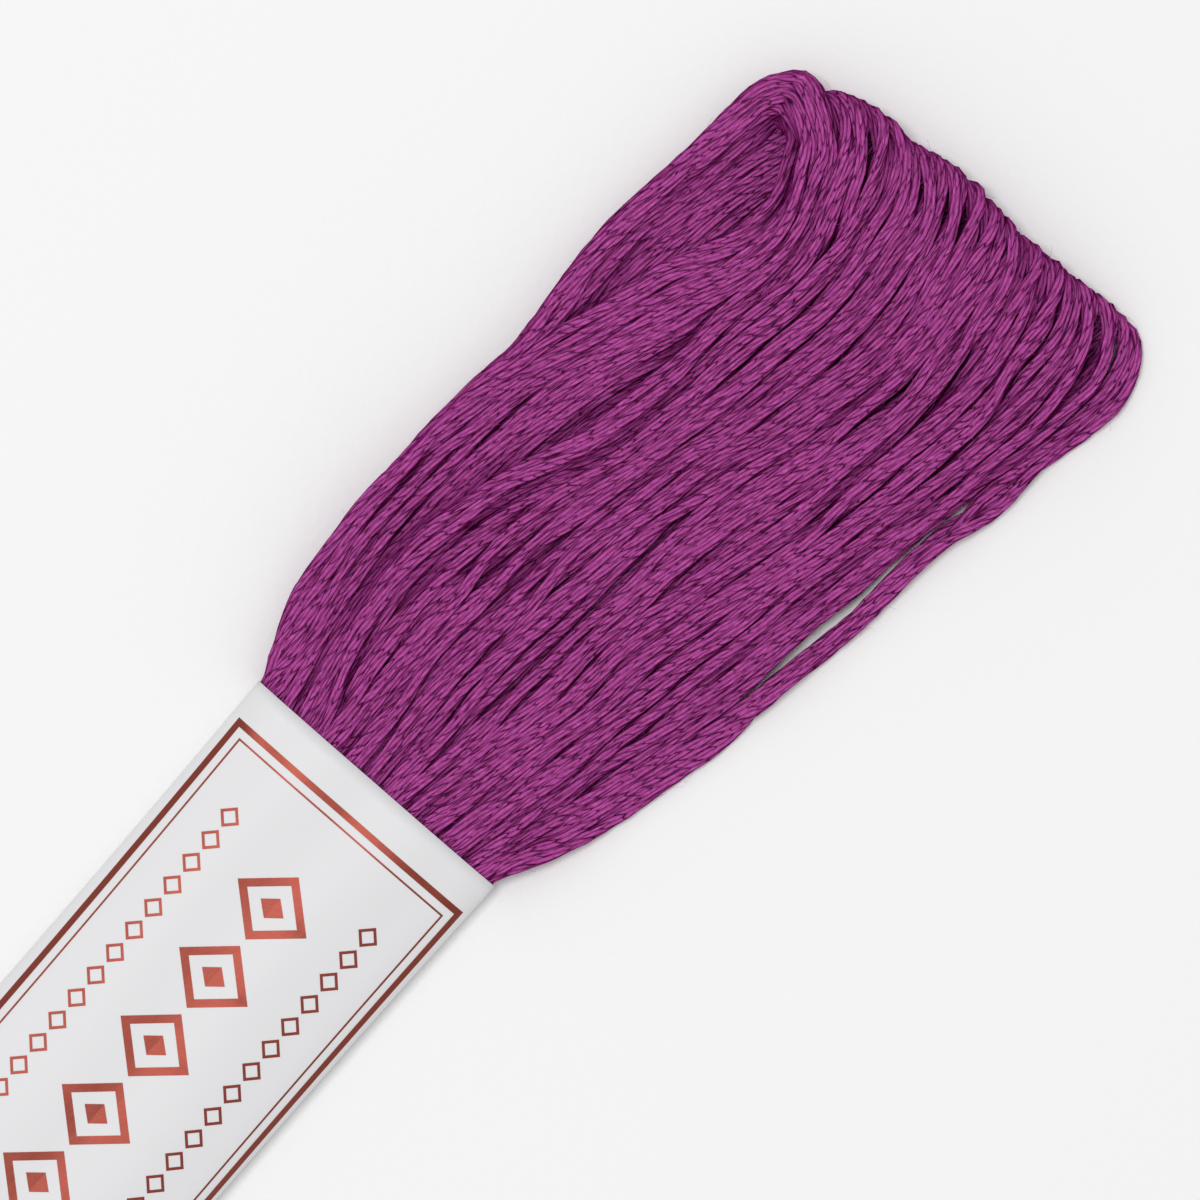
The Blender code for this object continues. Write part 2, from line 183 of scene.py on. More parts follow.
# How deep the groove along each lane's -Y side is at the same stations, in tenths of a deep one.
GROOVES = np.array((
    (0, 0, 0, 0, 0, 0, 0),
    (3, 2, 1, 1, 3, 4, 4),
    (6, 8, 6, 4, 6, 4, 3),
    (5, 3, 5, 4, 9, 10, 7),
    (4, 6, 8, 6, 4, 3, 3),
    (3, 3, 4, 8, 9, 10, 6),
    (5, 5, 8, 7, 3, 3, 4),
    (6, 7, 4, 3, 3, 5, 3),
    (5, 8, 10, 8, 7, 3, 3),
    (9, 6, 2, 2, 7, 10, 6),
    (3, 7, 9, 10, 9, 9, 5),
    (7, 4, 2, 2, 3, 3, 3),
    (5, 3, 7, 9, 9, 7, 3),
    (6, 8, 10, 10, 8, 9, 5),
    (3, 5, 9, 9, 7, 3, 3),
    (7, 9, 4, 3, 2, 2, 3),
    (0, 0, 0, 0, 0, 0, 0),
)) / 10

# The whole hank at the same stations: the height of the top run's crown, and the y of the two edges
# of the run beneath, without and with the lanes that lie folded back along its +Y edge.
Station = namedtuple("Station", "out crown under_low under_high folded_low folded_high")
STATIONS = (
    Station(0.0, 3.9, -10.9, 9.2, 9.0, 10.9),
    Station(10.0, 3.6, -13.2, 11.4, 10.6, 12.6),
    Station(20.0, 3.4, -14.4, 12.2, 11.2, 13.3),
    Station(30.0, 3.4, -15.3, 12.0, 11.2, 12.4),
    Station(40.0, 4.0, -16.8, 12.0, 11.6, 13.1),
    Station(50.0, 5.2, -18.6, 11.1, 10.5, 12.2),
    Station(54.0, 5.3, -19.2, 10.2, 10.1, 11.9),
)
TURN_START = STATIONS[-1].out
STATION_OUT = np.array([station.out for station in STATIONS])

# Creases of the top run inside its lanes: where each starts and ends, and how it bows and how deep.
Crease = namedtuple("Crease", "out y end_out end_y bow depth")
CREASES = (
    Crease(1.5, 9.6, 31.0, 10.5, 1.5, 0.35),
    Crease(4.0, 5.7, 20.0, 6.5, 0.6, 0.3),
    Crease(19.0, 8.7, 31.0, 8.6, -0.1, 0.35),
    Crease(23.0, 7.0, 31.0, 5.9, 0.1, 0.3),
    Crease(34.0, 4.6, 39.0, 3.6, 0.1, 0.5),
    Crease(24.0, 0.9, 34.0, -0.6, -0.1, 0.4),
    Crease(44.0, -11.1, 57.0, -9.0, -0.9, 0.35),
    Crease(10.0, -8.6, 24.0, -9.9, 0.0, 0.35),
    Crease(20.0, -12.8, 34.0, -14.6, 0.0, 0.35),
)
CREASE_WIDTH = 0.45
CREASE_ENDS = 5.0  # it fades over one part in so many of its length, at both ends

# A slit down to the floor, below one lane's -Y side, and the loose bundle on its other side.
Slit = namedtuple("Slit", "lane out end_out width")
SLITS = (
    Slit(1, 14.0, 41.0, 0.68),
)
SLIT_ENDS = 4.0  # it opens over one part in so many of its length, at both ends
LOOSE_LANE = 0
LOOSE_ENDS = (17.0, 45.0, 6.0)  # where its threads start and stop twining, easing over the last value
LOOSE_PITCH = 17.0
LOOSE_UNEVEN = (0.15, 9.0)  # how unevenly they twine
LOOSE_SWING = 0.3  # how far they swing sideways, and how far up and down
LOOSE_RISE = 0.3
LOOSE_ASIDE = -0.1  # how far the bundle keeps off its lane's middle, towards -Y

# How the threads lie in their lanes, and how they wander.
RUN_POINTS = 109  # points at which the lanes are worked out
GROOVE = 0.25  # width left between two lanes at a deep groove
SUNK_ROOM = 0.92  # how much less of a lane's width a sunk thread takes
LANE_STRETCH = 0.5  # how far threads spread when the lane is wider than they are
LANE_CREST = 1.05  # how far its middle stands above its sides, at a deep groove
CREST_POWER = 1.3
DRIFT_SPREAD = (0.75, 1.35)  # how the waves of a drift differ in length from thread to thread
SWAPS_PER_LANE = 1
SWAP_STARTS = (4.0, 46.0)
SWAP_LENGTH = 12.0
SWAP_LIFT = 0.3
WANDER_EASE = 6.0  # length beyond a mouth in which they start to wander
SIDE_DRIFT = (0.24, (31.0, 17.0, 10.0))
UNDER_CALM = 0.5  # how much of that the lower run has
HEIGHT_DRIFT = (0.12, (23.0, 12.0))
LANE_DRIFT = (0.35, (47.0, 29.0))
FAN_LIFT = (0.0, 0.0, 0.2, 0.6, 0.9, 0.8, 0.5)  # height of the lower run's +Y side, at the stations
FAN_START = 5.0  # y where that height starts to rise
FAN_WIDTH = 4.0
BELLY = 0.9  # how far the lower run arches up under the top run
BELLY_RISE = 5.0  # width over which it rises from either side
BELLY_ENDS = (4.0, 50.0, 8.0)  # where it starts and stops, easing over the last value
TUCKED_LANE = 14  # its threads start underneath the lane before it
TUCK = (1.0, 2.4, 1.2, 0.0, 0.0, 0.0, 0.0)
TUCK_DEPTH = 0.6
CROSSING_LANE = 13  # it passes over the others, by this much at its middle
CROSSING_RISE = 1.1
CROSSING_FROM = 5.0
CROSSING_LENGTH = 37.0

# At and beyond the sleeve's mouths.
MOUTH_SPREAD = 9.0  # length in which the threads find their place in a lane
MOUTH_FLARE = 3.0  # length in which the hank leaves the sleeve's section
MOUTH_SPLAY = 0.55  # how fast it may widen there
MOUTH_RISE = 3.0  # how much higher it may stand at the end of that length
MOUTH_LIP = 0.4  # length in which it still has that section
SLEEVE_ROOM = 0.15  # left free between the threads and the paper above them
SIDE_LIMIT = 0.999  # share of the way out beyond which its room gets no lower
EDGE_DROP = 14.0  # length in which the lanes at the edges sink to their lift

# How the threads turn over the end of the loop.
END_SEEDS = (3, 8)  # of the far and the near end
NEAR_SPREAD = 0.94  # how narrow the near end's fan is, and over what length it gets so
NEAR_EASE = 30.0
FOLDED_LANE = 13  # this lane and those after it turn back nearly flat
FOLDED_ROWS = (2.4, 0.6)  # rows above the floor in which the outer and inner ones come back
FOLDED_STEP = 0.9  # every second one lies this much higher
INNER_SINK = 1.7  # how far the innermost of them sink before they turn, from here on
INNER_SINK_FROM = 44.0
INNER_SINK_LENGTH = 9.0
FOLD_TIP = (57.7, 9.6)  # outermost point of the folded lanes
FOLD_BAND = 3.0  # width of their band there
TURN_STEPS = 17  # points of half a turn
TURN_REACH = 1.5  # how round the turn is, seen from the side
TIP_STEP = 0.15  # how much further in a sunk thread turns, for each row
TURN_FALL = 1.0
TURN_SWEEP = 0.3
TIP_SWEEP = 2.8  # how far the threads run along the edge while they turn under

# How the threads settle against each other.
SWEEPS = 160
PAIRS_EVERY = 4  # sweeps after which touching pairs are looked for again
PAIR_REACH = 1.45  # how near such pairs are, against threads that touch
SAME_THREAD = 3  # points this near along the thread never touch
PRESS = 0.36  # share of their overlap by which each moves in a sweep
STIFFNESS = 0.35
RELEASE = 0.985  # how much of its move a point keeps

# Light and camera, in metres and degrees.
SKY_LIGHT = 0.6
LAMP_SIZE = 0.25
LAMP_POWER = 2.45
LAMP_PLACE = (0.03, 0.17, 0.8)
LAMP_TILT = -12
CAMERA_PLACE = (0.0478, -0.0034, 0.7)
CAMERA_TURN = -48.9
SENSOR = 36.0
VIEW_WIDTH = 0.0857  # width of floor in the frame


def ease(value):
    """Smooth step from 0 to 1."""
    value = np.clip(value, 0.0, 1.0)
    return value * value * (3 - 2 * value)


def mix(start, end, share):
    return start + (end - start) * share


def between(at, start, end, length):
    """1 between two places, easing to 0 within that length of either."""
    return ease((at - start) / length) * ease((end - at) / length)


def sleeve_section():
    """Outline of the sleeve from its mouth: distances around from the middle of its top, with y and z."""
    angle = np.linspace(-pi, pi, OUTLINE_POINTS)
    across, up = np.sin(angle), np.cos(angle)
    power = np.where(up > 0, DOME_POWER, BASE_POWER)
    height = np.where(up > 0, SLEEVE_HEIGHT - SLEEVE_SIDE, SLEEVE_SIDE)
    y = SLEEVE_WIDTH / 2 * np.sign(across) * np.abs(across) ** (2 / power)
    z = SLEEVE_SIDE + height * np.sign(up) * np.abs(up) ** (2 / power)
    around = np.concatenate([[0.0], np.cumsum(np.hypot(np.diff(y), np.diff(z)))])
    return around - around[-1] / 2, y, z


SECTION_AROUND, SECTION_Y, SECTION_Z = sleeve_section()
SLEEVE_AROUND = SECTION_AROUND[-1] * 2


def room_in_sleeve(y, half):
    """Lowest and highest place for the middle of a thread inside the sleeve, at places across it."""
    inset = PAPER + THREAD / 2
    share = np.minimum(np.abs(y) / half, SIDE_LIMIT)
    headroom = SLEEVE_HEIGHT - SLEEVE_SIDE - inset - SLEEVE_ROOM
    dome = headroom * (1 - share ** DOME_POWER) ** (1 / DOME_POWER)
    base = (SLEEVE_SIDE - inset - PAPER) * (1 - share ** BASE_POWER) ** (1 / BASE_POWER)
    return SLEEVE_SIDE - base, SLEEVE_SIDE + dome


def curve_through(rows, at):
    """Smooth curves through rows of values set at the stations, read at many places."""
    rows = np.asarray(rows, float)
    slopes = np.gradient(rows, STATION_OUT, axis=1)
    span = np.clip(np.searchsorted(STATION_OUT, at, side="right") - 1, 0, len(STATION_OUT) - 2)
    width = np.diff(STATION_OUT)[span]
    t = (at - STATION_OUT[span]) / width
    start = rows[:, span] * (1 + 2 * t) * (1 - t) ** 2 + slopes[:, span] * width * t * (1 - t) ** 2
    end = rows[:, span + 1] * t * t * (3 - 2 * t) + slopes[:, span + 1] * width * t * t * (t - 1)
    return start + end


def bend(start, end, leave, arrive, t):
    """Points on a smooth bend between two points, with its directions at both."""
    return (start * (1 + 2 * t) * (1 - t) ** 2 + leave * t * (1 - t) ** 2
            + end * t * t * (3 - 2 * t) + arrive * t * t * (t - 1))


def drift(rng, count, at, amplitude, lengths):
    """A slow wander of each thread along its way, from a few sine waves of its own."""
    total = np.zeros((count, len(at)))
    for length in lengths:
        own = length * rng.uniform(*DRIFT_SPREAD, (count, 1))
        total += np.sin(2 * pi * (at / own + rng.random((count, 1)))) / len(lengths)
    return total * amplitude


def share_out(low, high, threads, aside=1.0):
    """Threads laid side by side in one lane: their y, their row, and their place across the lane.

    Where the lane is too narrow for all, some sink into the row inside, one after another. The first
    of them slips aside, beyond the lane."""
    width = high - low
    excess = threads - width / SPACING
    order = np.arange(threads)[:, None]
    row = np.clip(excess - order, 0.0, 1.0)
    room = 1 - SUNK_ROOM * row
    place = (np.cumsum(room, axis=0) - room / 2) / room.sum(axis=0)
    packed = np.minimum(width, room.sum(axis=0) * SPACING)
    filled = packed + LANE_STRETCH * (width - packed)
    y = (low + high) / 2 + (place - 0.5) * filled
    y[:1] -= aside * row[:1] * SPACING
    return y, row, place


def swap_neighbours(y, row, height, lanes, out, rng):
    """Lets two neighbours of a lane change places here and there, one passing over the other."""
    for number in range(len(LANES) - 1):
        members = np.nonzero(lanes == number)[0]
        for start in rng.uniform(*SWAP_STARTS, SWAPS_PER_LANE):
            if len(members) < 2:
                continue
            first = members[rng.integers(len(members) - 1)]
            other = first + 1
            changed = ease((out - start) / SWAP_LENGTH)
            hump = np.sin(pi * np.clip((out - start) / SWAP_LENGTH, 0.0, 1.0)) ** 2
            for field in (y, row):
                field[first], field[other] = (mix(field[first], field[other], changed),
                                              mix(field[other], field[first], changed))
            height[first] += SWAP_LIFT * hump
            height[other] -= SWAP_LIFT * hump


def slit_width(lane, out):
    """Width of the slit below a lane, along the run."""
    width = np.zeros_like(out)
    for slit in SLITS:
        if slit.lane == lane:
            share = (out - slit.out) / (slit.end_out - slit.out)
            width += slit.width * ease(share * SLIT_ENDS) * ease((1 - share) * SLIT_ENDS)
    return width


def twine_loose_lane(y, z, lanes, out):
    """Lets the outermost threads of the run twine about each other, with small gaps between them."""
    members = np.nonzero(lanes == LOOSE_LANE)[0]
    loose = between(out, *LOOSE_ENDS)
    middle = y[members].mean(axis=0) - LOOSE_ASIDE
    low = THREAD / 2
    uneven, length = LOOSE_UNEVEN
    for order, member in enumerate(members):
        angle = 2 * pi * (out / LOOSE_PITCH * (1 + uneven * np.sin(out / length)) + order / len(members))
        y[member] = mix(y[member], middle + LOOSE_SWING * np.sin(angle), loose)
        z[member] = mix(z[member], low + LOOSE_RISE * (1 + np.cos(angle)), loose)


def crease_depth(out, y):
    """How deep the creases of the top run are at places on it."""
    depth = np.zeros_like(y)
    for crease in CREASES:
        share = (out - crease.out) / (crease.end_out - crease.out)
        middle = mix(crease.y, crease.end_y, share) + crease.bow * 4 * share * (1 - share)
        fade = ease(share * CREASE_ENDS) * ease((1 - share) * CREASE_ENDS)
        depth += crease.depth * fade * np.exp(-((y - middle) / CREASE_WIDTH) ** 2)
    return depth


def end_paths(seed):
    """Ways of all turns over one end of the skein, from the top of the mouth to its underside."""
    rng = np.random.default_rng(seed)
    lanes = np.repeat(np.arange(len(LANES) - 1), [lane.threads for lane in LANES[:-1]])
    alternate = (np.arange(TURNS)[:, None] % 2).astype(float)
    out = np.linspace(0.0, TURN_START, RUN_POINTS)
    edges = curve_through([lane[1:1 + len(STATIONS)] for lane in LANES], out)
    crown, under_low, under_high, folded_low, folded_high = curve_through(
        np.array([station[1:] for station in STATIONS]).T, out)
    tuck = curve_through([TUCK], out)[0]
    grooves = curve_through(GROOVES, out)
    wander = ease(out / WANDER_EASE)
    below = np.cumsum([0] + [lane.threads for lane in LANES[:FOLDED_LANE]])
    below = below / below[-1]

    # Where the threads lie across the top run and across the lower run, and how many rows deep.
    fold_lane = lanes[lanes >= FOLDED_LANE]
    fold_share = np.linspace(0.0, 1.0, len(fold_lane))
    fold_row = mix(*FOLDED_ROWS, fold_share) + FOLDED_STEP * (np.arange(len(fold_lane)) % 2)
    top_y, top_row, place, under_y, under_row = [], [], [], [], []
    for number, lane in enumerate(LANES[:-1]):
        low = edges[number] - (tuck if number == TUCKED_LANE else 0.0)
        low = low + (slit_width(number, out) + GROOVE * grooves[number]) / 2
        high = edges[number + 1] - (slit_width(number + 1, out) + GROOVE * grooves[number + 1]) / 2
        aside = 0.0 if any(slit.lane == number for slit in SLITS) else 1.0
        for into, field in zip((top_y, top_row, place), share_out(low, high, lane.threads, aside)):
            into.append(field)
        if number < FOLDED_LANE:
            y, row, _ = share_out(mix(under_low, under_high, below[number]),
                                  mix(under_low, under_high, below[number + 1]), lane.threads)
        else:
            y = mix(folded_high, folded_low, fold_share[fold_lane == number][:, None])
            row = np.broadcast_to(fold_row[fold_lane == number][:, None], y.shape)
        under_y.append(y)
        under_row.append(row)
    top_y, top_row, place = (np.concatenate(field) for field in (top_y, top_row, place))
    under_y, under_row = np.concatenate(under_y), np.concatenate(under_row)
    folded = lanes >= FOLDED_LANE
    near_mouth = 1 - ease(out / MOUTH_SPREAD)
    top_row = mix(top_row, alternate, near_mouth)
    under_row[~folded] = mix(under_row[~folded], alternate[~folded], near_mouth)

    # How high they lie.
    lift = np.array([lane.lift for lane in LANES])
    lane_lift = mix(lift[lanes][:, None], lift[lanes + 1][:, None], place)
    at_mouth = room_in_sleeve(top_y, SLEEVE_WIDTH / 2 - PAPER - THREAD / 2)[1]
    height = mix(at_mouth, crown * lane_lift - THREAD / 2, ease(out / EDGE_DROP))
    beside = np.where(place < 0.5, grooves[lanes], grooves[lanes + 1])
    height = height - LANE_CREST * beside * np.abs(2 * place - 1) ** CREST_POWER * (1 - near_mouth)
    height += (wander * drift(rng, len(LANES) - 1, out, *LANE_DRIFT))[lanes]
    crossing = np.sin(pi * np.clip((out - CROSSING_FROM) / CROSSING_LENGTH, 0, 1))
    height += np.where(lanes == CROSSING_LANE, CROSSING_RISE, 0.0)[:, None] * crossing
    height[lanes == TUCKED_LANE] -= TUCK_DEPTH * tuck / max(TUCK)
    inner_sinks = ease((out - INNER_SINK_FROM) / INNER_SINK_LENGTH)
    height[lanes >= FOLDED_LANE] -= INNER_SINK * fold_share[:, None] ** 2 * inner_sinks
    swap_neighbours(top_y, top_row, height, lanes, out, rng)
    top_y += wander * drift(rng, TURNS, out, *SIDE_DRIFT)
    top_z = height - ROW_STEP * top_row - crease_depth(out, top_y)
    top_z = top_z + wander * drift(rng, TURNS, out, *HEIGHT_DRIFT)
    twine_loose_lane(top_y, top_z, lanes, out)
    under_y += UNDER_CALM * wander * drift(rng, TURNS, out, *SIDE_DRIFT)
    under_z = PAPER * (1 - ease(out / MOUTH_FLARE)) + THREAD / 2 + ROW_STEP * under_row
    aside = np.minimum(under_y - under_low, under_high - under_y)
    under_z += BELLY * between(out, *BELLY_ENDS) * ease(aside / BELLY_RISE)
    under_z += curve_through([FAN_LIFT], out)[0] * ease((under_y - FAN_START) / FAN_WIDTH) * ~folded[:, None]

    # The outermost point of each turn.
    turn_x = np.array([lane.turn_x for lane in LANES])
    turn_y = np.array([lane.turn_y for lane in LANES])
    across = place[:, -1]
    tip_x = mix(turn_x[lanes], turn_x[lanes + 1], across) - THREAD / 2 - TIP_STEP * top_row[:, -1]
    tip_y = mix(turn_y[lanes], turn_y[lanes + 1], across)
    tip = np.stack([tip_x, tip_y, (top_z[:, -1] + under_z[:, -1]) / 2], axis=1)
    tip[folded, 0] = FOLD_TIP[0] - FOLD_BAND * fold_share
    tip[folded, 1] = FOLD_TIP[1]

    # Over the end: a bend out to the tip of the turn, and one back to the lower run.
    start = np.stack([np.full(TURNS, TURN_START), top_y[:, -1], top_z[:, -1]], axis=1)
    end = np.stack([np.full(TURNS, TURN_START), under_y[:, -1], under_z[:, -1]], axis=1)
    reach = (tip[:, 0] - TURN_START) * TURN_REACH
    lean = (top_y[:, -1] - top_y[:, -3]) / (out[-1] - out[-3])
    leave = np.stack([reach, lean * reach, np.zeros(TURNS)], axis=1)
    sweep = (end[:, 1] - start[:, 1]) * TURN_SWEEP + TIP_SWEEP * ~folded
    fall = np.stack([np.zeros(TURNS), sweep, (end[:, 2] - start[:, 2]) * TURN_FALL], axis=1)
    arrive = np.stack([-reach, np.zeros(TURNS), np.zeros(TURNS)], axis=1)
    steps = np.linspace(0, 1, TURN_STEPS)[1:, None, None]
    over = bend(start, tip, leave, fall, steps)
    back = bend(tip, end, fall, arrive, steps[:-1])
    top = np.stack([np.broadcast_to(out, top_y.shape), top_y, top_z], axis=2)
    under = np.stack([np.broadcast_to(out, under_y.shape), under_y, under_z], axis=2)
    turn = np.concatenate([over, back]).transpose(1, 0, 2)
    return np.concatenate([top, turn, under[:, ::-1]], axis=1)


def evenly(path, count):
    """The same way with a given number of points, evenly spaced along it."""
    length = np.concatenate([[0.0], np.cumsum(np.linalg.norm(np.diff(path, axis=0), axis=1))])
    at = np.linspace(0.0, length[-1], count)
    return np.stack([np.interp(at, length, path[:, axis]) for axis in range(3)], axis=1)


def way_of_the_thread():
    """Middle line of the whole thread, as rows of points: one row for each turn of the winding."""
    far, near = (end_paths(seed) for seed in END_SEEDS)
    near = near[::-1, ::-1]
    narrow = mix(1.0, NEAR_SPREAD, ease(near[..., 0] / NEAR_EASE))
    near = np.stack([-near[..., 0] - HALF_SLEEVE, -near[..., 1] * narrow, near[..., 2]], axis=2)
    far = far + np.array((HALF_SLEEVE, 0.0, 0.0))
    turns = []
    steps = np.linspace(0, 1, SLEEVE_POINTS + 2)[1:-1, None]
    for number in range(TURNS):
        before = far[max(number - 1, 0), -1]
        after = near[min(number + 1, TURNS - 1), 0]
        entry = mix(before, near[number, 0], np.linspace(0.5, 1, SLEEVE_POINTS // 2 + 1)[:-1, None])
        top = mix(near[number, -1], far[number, 0], steps)
        leave = mix(far[number, -1], after, np.linspace(0, 0.5, SLEEVE_POINTS // 2 + 1)[1:, None])
        turns.append(np.concatenate([entry, evenly(near[number], END_POINTS), top,
                                     evenly(far[number], END_POINTS), leave]))
    return np.array(turns)


def waist(x):
    """How far each side of the sleeve has come in, at places along it."""
    return SLEEVE_WAIST * np.clip(1 - (x / HALF_SLEEVE) ** 2, 0.0, 1.0)


def near_pairs(points, reach, apart):
    """Pairs of points nearer than a reach, and further apart than that many points along the thread."""
    cell = np.floor(points / reach).astype(np.int64)
    cell -= cell.min(axis=0) - 1
    size = cell.max(axis=0) + 2
    key = (cell[:, 0] * size[1] + cell[:, 1]) * size[2] + cell[:, 2]
    order = np.argsort(key, kind="stable")
    keys = key[order]
    found = []
    offsets = [(x, y, z) for x in (-1, 0, 1) for y in (-1, 0, 1) for z in (-1, 0, 1)]
    half_of_them = offsets[len(offsets) // 2:]
    for x, y, z in half_of_them:
        beside = key + (x * size[1] + y) * size[2] + z
        first = np.searchsorted(keys, beside, "left")
        counts = np.searchsorted(keys, beside, "right") - first
        for step in range(counts.max()):
            a = np.nonzero(counts > step)[0]
            b = order[first[a] + step]
            gap = points[a] - points[b]
            kept = (np.einsum("ij,ij->i", gap, gap) < reach * reach) & (np.abs(a - b) > apart)
            if (x, y, z) == (0, 0, 0):
                kept &= a < b
            found.append(np.stack([a[kept], b[kept]]))
    return np.concatenate(found, axis=1)


def held_by_sleeve(points):
    """Points kept inside the sleeve where they pass through it, and above the floor everywhere."""
    radius = THREAD / 2
    beyond = np.clip(np.abs(points[:, 0]) - HALF_SLEEVE - MOUTH_LIP, 0.0, None)
    outside = np.clip(beyond / MOUTH_FLARE, 0.0, 1.0)
    half = SLEEVE_WIDTH / 2 - PAPER - radius - waist(points[:, 0]) + MOUTH_SPLAY * beyond
    points[:, 1] = np.clip(points[:, 1], -half, half)
    base, dome = room_in_sleeve(points[:, 1], half)
    lowest = mix(base, radius, outside)
    highest = np.where(outside < 1, dome + MOUTH_RISE * outside, np.inf)
    points[:, 2] = np.clip(points[:, 2], lowest, np.maximum(highest, lowest))
    return points


def settle(turns, sweeps):
    """Moves the threads off each other, while each stays near its own way and bends only gently."""
    target = turns.reshape(-1, 3)
    points = target.copy()
    total = len(points)
    for sweep in range(sweeps):
        if sweep % PAIRS_EVERY == 0:
            a, b = near_pairs(points, CONTACT * PAIR_REACH, SAME_THREAD)
        gap = points[a] - points[b]
        distance = np.sqrt(np.einsum("ij,ij->i", gap, gap)) + 1e-9
        press = np.clip(CONTACT - distance, 0.0, None)
        push = gap * (PRESS * press / distance)[:, None]
        for axis in range(3):
            points[:, axis] += np.bincount(a, push[:, axis], total)
            points[:, axis] -= np.bincount(b, push[:, axis], total)
        moved = points - target
        moved[1:-1] += STIFFNESS * (0.5 * (moved[:-2] + moved[2:]) - moved[1:-1])
        points = held_by_sleeve(target + moved * RELEASE)
    return points.reshape(turns.shape)


MATHS = "ShaderNodeMath"
NOISE = "ShaderNodeTexNoise"
STEP = "ShaderNodeMapRange"
SMOOTH = {"interpolation_type": "SMOOTHSTEP"}


def add(tree, kind, inputs=(), operation=None, **settings):
    """Adds a node with its settings. Inputs go by name or in order: values, nodes or their outputs."""
    node = tree.nodes.new(kind)
    if operation:
        settings["operation"] = operation
    for name, value in settings.items():
        setattr(node, name, value)
    for socket, value in (inputs if isinstance(inputs, dict) else dict(enumerate(inputs))).items():
        if isinstance(value, bpy.types.Node):
            value = value.outputs[0]
        if isinstance(value, bpy.types.NodeSocket):
            tree.links.new(value, node.inputs[socket])
        else:
            node.inputs[socket].default_value = value
    return node


def add_object(name, data, *materials):
    """An object in the scene, with its materials."""
    piece = bpy.data.objects.new(name, data)
    bpy.context.scene.collection.objects.link(piece)
    for material in materials:
        piece.data.materials.append(material)
    return piece


def shape_tree(name, sizes):
    """An empty tree of shape nodes, with a geometry input and output and named sizes."""
    tree = bpy.data.node_groups.new(name, "GeometryNodeTree")
    tree.interface.new_socket("Geometry", in_out="INPUT", socket_type="NodeSocketGeometry")
    for label, kind in sizes:
        tree.interface.new_socket(label, in_out="INPUT", socket_type=kind)
    tree.interface.new_socket("Geometry", in_out="OUTPUT", socket_type="NodeSocketGeometry")
    return tree


def finish_shape(tree, shape, material):
    """Ends a tree of shape nodes: every instance made real, with its material."""
    real = add(tree, "GeometryNodeRealizeInstances", [shape])
    finished = add(tree, "GeometryNodeSetMaterial", {"Geometry": real, "Material": material})
    add(tree, "NodeGroupOutput", [finished])
    return tree


def made_by_nodes(name, mesh, tree, values):
    """A plain mesh object: what a tree of shape nodes makes of a mesh, pressed flat by the floor."""
    piece = add_object(name, mesh)
    nodes = piece.modifiers.new("shape", "NODES")
    nodes.node_group = tree
    for item in tree.interface.items_tree:
        if item.in_out == "INPUT" and item.name in values:
            nodes[item.identifier] = values[item.name]
    bpy.context.view_layer.update()
    made = bpy.data.meshes.new_from_object(piece.evaluated_get(bpy.context.evaluated_depsgraph_get()))
    piece.modifiers.clear()
    piece.data = made
    made.name = name
    places = np.empty(len(made.vertices) * 3, np.float32)
    made.vertices.foreach_get("co", places)
    places[2::3] = np.maximum(places[2::3], 0.0)
    made.vertices.foreach_set("co", places)
    made.update()
    return piece


